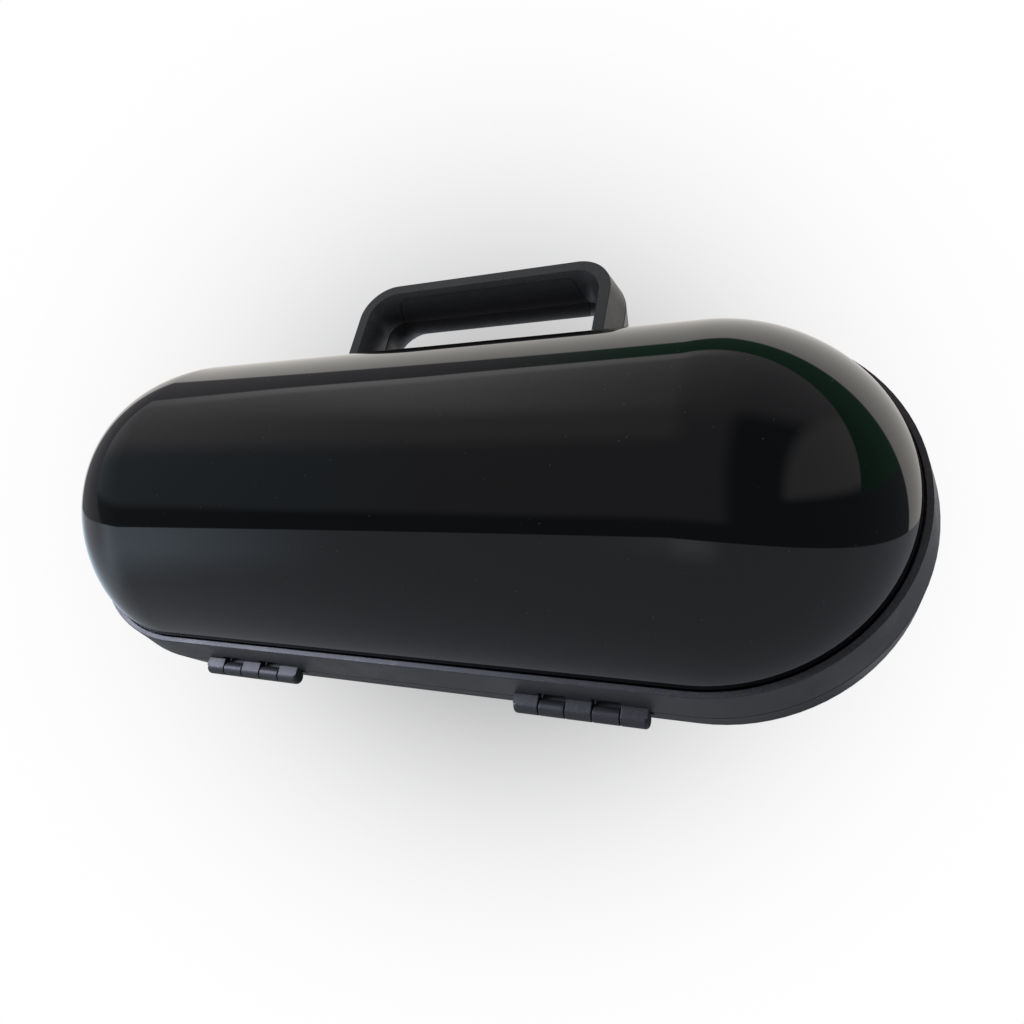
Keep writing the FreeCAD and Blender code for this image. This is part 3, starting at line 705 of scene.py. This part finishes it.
def open_room(tree, stage, over, x, y):
    """Room over the table: its ceiling, its pale back, a window on the left and the shaded right."""
    ceiling = mix_colours(tree, spread(tree, x, *CEILING_BLUE_X), stage.room_grey, stage.room_blue)
    lift = product(tree, spread(tree, y, *BACK_LEFT_Y), spread(tree, x, *BACK_LEFT_X))
    back = calc(tree, "MAXIMUM", lift, spread(tree, y, *BACK_Y))
    back = product(tree, back, spread(tree, x, *BACK_RIGHT_X, BACK_RIGHT_SHARE, 1.0))
    room = mix_colours(tree, back, ceiling, stage.room_pale)
    window = product(
        tree, spread(tree, x, *WINDOW_RIGHT_X), spread(tree, x, *WINDOW_LEFT_X), spread(tree, y, *WINDOW_Y))
    room = mix_colours(tree, window, room, stage.window_pale)
    shaded = product(tree, spread(tree, x, *SHADED_X), spread(tree, y, *SHADED_Y))
    room = mix_colours(tree, shaded, room, stage.room_dark)
    right_end = product(tree, spread(tree, x, *RIGHT_END_X), spread(tree, over, *RIGHT_END_RISE))
    room = mix_colours(tree, right_end, room, stage.room_pale)
    return mix_colours(tree, spread(tree, over, *ROOM_RISE), stage.room_dark, room)


def room_colour(tree, stage, direction, over, x, y, z):
    """Room beyond the table, with a sill and a low strip at its back, and the white paper."""
    room = open_room(tree, stage, over, x, y)
    low = calc(tree, "ADD", z, product(tree, x, STRIP_SLOPE))
    low = calc(tree, "ADD", low, spread(tree, x, *STRIP_STEP_X, 0.0, STRIP_STEP))
    sill = product(
        tree, spread(tree, low, *SILL_FOOT), spread(tree, low, *SILL_TOP),
        spread(tree, x, *SILL_LEFT_X), spread(tree, x, *SILL_RIGHT_X))
    room = mix_colours(tree, sill, room, stage.sill_pale)
    strip = mix_colours(tree, spread(tree, x, *STRIP_GREEN_X), stage.strip_grey, stage.strip_green)
    room = mix_colours(tree, spread(tree, low, *STRIP_TOP), room, strip)
    right_low = product(tree, spread(tree, x, *RIGHT_LOW_X), spread(tree, over, *RIGHT_LOW_RISE))
    room = mix_colours(tree, right_low, room, stage.room_dark)
    left = calc(tree, "MINIMUM", x, 0.0)
    edge = calc(tree, "ADD", product(tree, left, PAPER_SLOPE), PAPER_EDGE)
    above = calc(tree, "SUBTRACT", facing(tree, direction, PAPER_TILT), edge)
    return mix_colours(tree, spread(tree, above, *PAPER_BLUR), room, stage.paper_white)


def studio_world(stage):
    """Surround that the gloss mirrors: a table in front and a plain room behind; white to the camera."""
    world = bpy.data.worlds.new("studio")
    world.use_nodes = True
    tree = world.node_tree
    tree.nodes.clear()
    direction = add_node(tree, "TexCoord").outputs["Generated"]
    axes = add_node(tree, "SeparateXYZ", {"Vector": direction}).outputs
    over = calc(tree, "ADD", facing(tree, direction, HORIZON), HORIZON_DROP)
    table = table_colour(tree, stage, over, axes["X"])
    room = room_colour(tree, stage, direction, over, axes["X"], axes["Y"], axes["Z"])
    surround = mix_colours(tree, spread(tree, over, *HORIZON_BLUR), table, room)
    camera_ray = add_node(tree, "LightPath").outputs["Is Camera Ray"]
    seen = mix_colours(tree, camera_ray, surround, (1, 1, 1))
    background = add_node(tree, "Background", {"Color": seen, "Strength": 1.0})
    add_node(tree, "OutputWorld", {"Surface": background.outputs["Background"]})
    bpy.context.scene.world = world


def white_past_painted_halo(tree, place):
    """Share of white on the floor, leaving a painted shade halo round the case: low at the case, all far
    off, and slower towards the back left.
    """
    out = add_node(tree, "VectorMath", {0: place, 1: FADE_MIDDLE}, operation="SUBTRACT").outputs["Vector"]
    along = facing(tree, out, FADE_ALONG)
    long_share = calc(tree, "DIVIDE", along, FADE_LENGTH)
    wide_share = calc(tree, "DIVIDE", facing(tree, out, FADE_ACROSS), FADE_WIDTH)
    spot = calc(tree, "ADD", product(tree, long_share, long_share), product(tree, wide_share, wide_share))
    stretch = calc(tree, "ADD", product(tree, along, FADE_STRETCH), 1.0)
    spot = calc(tree, "DIVIDE", spot, product(tree, stretch, stretch))
    # Grey share of the painted shade halo, falling off away from the case
    grey = product(tree, calc(tree, "EXPONENT", product(tree, spot, -1.0)), 1.0 - WHITE_IN_PAINTED_HALO)
    return calc(tree, "SUBTRACT", 1.0, grey)


def beyond_case(tree, place):
    """Share of the floor that isn't under the case."""
    axes = add_node(tree, "SeparateXYZ", {"Vector": place}).outputs
    reach = calc(tree, "ABSOLUTE", axes["X"])
    under = product(
        tree, spread(tree, reach, UNDER_END + UNDER_SOFT, UNDER_END),
        spread(tree, axes["Y"], UNDER_FRONT - UNDER_SOFT, UNDER_FRONT),
        spread(tree, axes["Y"], UNDER_BACK + UNDER_SOFT, UNDER_BACK))
    return calc(tree, "SUBTRACT", 1.0, under)


def floor_material(stage):
    """Pale floor with a painted shade halo: grey round the case, fading to white far off; beyond the case,
    reflections show the surround.
    """
    material = bpy.data.materials.new("stage_floor")
    material.use_nodes = True
    tree = material.node_tree
    tree.nodes.clear()
    matt = add_node(tree, "BsdfDiffuse", {"Color": (*stage.floor, 1)})
    white = add_node(tree, "Emission", {"Color": (1, 1, 1, 1), "Strength": 1.0})
    paths = add_node(tree, "LightPath")
    place = add_node(tree, "TexCoord").outputs["Object"]
    # Camera rays see a painted shade halo: the lit floor near the case, passing into white far off
    far = product(tree, white_past_painted_halo(tree, place), paths.outputs["Is Camera Ray"])
    pale = add_node(tree, "MixShader", {0: far, 1: matt.outputs[0], 2: white.outputs[0]})
    clear = add_node(tree, "BsdfTransparent")
    glossy = product(tree, beyond_case(tree, place), paths.outputs["Is Glossy Ray"])
    surface = add_node(tree, "MixShader", {0: glossy, 1: pale.outputs[0], 2: clear.outputs[0]})
    add_node(tree, "OutputMaterial", {"Surface": surface.outputs[0]})
    return material


def add_lamp(name, power, width, place):
    """Large soft lamp that faces the case and isn't mirrored in the gloss."""
    data = bpy.data.lights.new(name, "AREA")
    data.energy = power
    data.shape = "DISK"
    data.size = width
    lamp = bpy.data.objects.new(name, data)
    lamp.location = place
    lamp.rotation_euler = (LAMP_TARGET - place).to_track_quat("-Z", "Y").to_euler()
    lamp.visible_glossy = False
    bpy.context.scene.collection.objects.link(lamp)
    return lamp


def light_frames(lamp, tone):
    """Lets a lamp light only the frames, with a soft glint."""
    receivers = bpy.data.collections.new(lamp.name + "_receivers")
    for node in ("lid_frame", "base_frame"):
        receivers.objects.link(frame["nodes"][node])
    lamp.light_linking.receiver_collection = receivers
    lamp.data.color = tone
    lamp.visible_glossy = True


def add_camera(lens):
    """Camera at the photograph's place and angle."""
    data = bpy.data.cameras.new("camera")
    data.sensor_width = 36
    data.lens = lens
    data.clip_start = 0.01
    camera = bpy.data.objects.new("camera", data)
    right = CAMERA_LOOK.cross(CAMERA_UP).normalized()
    up = right.cross(CAMERA_LOOK).normalized()
    turn = Matrix((right, up, -CAMERA_LOOK.normalized())).transposed()
    camera.matrix_world = Matrix.Translation(CAMERA_PLACE) @ turn.to_4x4()
    bpy.context.scene.collection.objects.link(camera)
    bpy.context.scene.camera = camera


class CASE_OT_stage(bpy.types.Operator):
    """Sets the floor, the lamps, the surround and the camera"""

    bl_idname = "case.stage"
    bl_label = "Stage"

    def execute(self, context):
        stage = context.scene.case_stage
        bm = bmesh.new()
        bmesh.ops.create_circle(bm, cap_ends=True, radius=FLOOR_RADIUS, segments=96)
        mesh = bpy.data.meshes.new("floor")
        bm.to_mesh(mesh)
        bm.free()
        mesh.materials.append(floor_material(stage))
        floor = bpy.data.objects.new("floor", mesh)
        context.scene.collection.objects.link(floor)
        studio_world(stage)
        add_lamp("top_lamp", stage.top_power, TOP_WIDTH, TOP_PLACE)
        side = add_lamp("side_lamp", stage.side_power, SIDE_WIDTH, SIDE_PLACE)
        light_frames(side, stage.side_light)
        add_camera(stage.lens)
        context.scene.view_settings.view_transform = "Standard"
        return {"FINISHED"}


OPERATORS = (
    CASE_OT_shells,
    CASE_OT_frames,
    CASE_OT_handle,
    CASE_OT_latches,
    CASE_OT_seal,
    CASE_OT_foam,
    CASE_OT_stage,
)


class CASE_PT_panel(bpy.types.Panel):
    """Lists the pieces of the case"""

    bl_label = "Transport Case"
    bl_idname = "CASE_PT_panel"
    bl_space_type = "VIEW_3D"
    bl_region_type = "UI"
    bl_category = "Case"

    def draw(self, context):
        for operator in OPERATORS:
            self.layout.operator(operator.bl_idname)


GROUPS = {"case_sizes": CaseSizes, "case_colours": CaseColours, "case_stage": CaseStage}


def register():
    for group in GROUPS.values():
        bpy.utils.register_class(group)
    for name, group in GROUPS.items():
        setattr(bpy.types.Scene, name, bpy.props.PointerProperty(type=group))
    for operator in OPERATORS:
        bpy.utils.register_class(operator)
    bpy.utils.register_class(CASE_PT_panel)


def unregister():
    bpy.utils.unregister_class(CASE_PT_panel)
    for operator in reversed(OPERATORS):
        bpy.utils.unregister_class(operator)
    for name in GROUPS:
        delattr(bpy.types.Scene, name)
    for group in reversed(GROUPS.values()):
        bpy.utils.unregister_class(group)


def main():
    register()
    bpy.ops.case.shells()
    bpy.ops.case.frames()
    bpy.ops.case.handle()
    bpy.ops.case.latches()
    bpy.ops.case.seal()
    bpy.ops.case.foam()
    bpy.ops.case.stage()


if __name__ == "__main__":
    main()
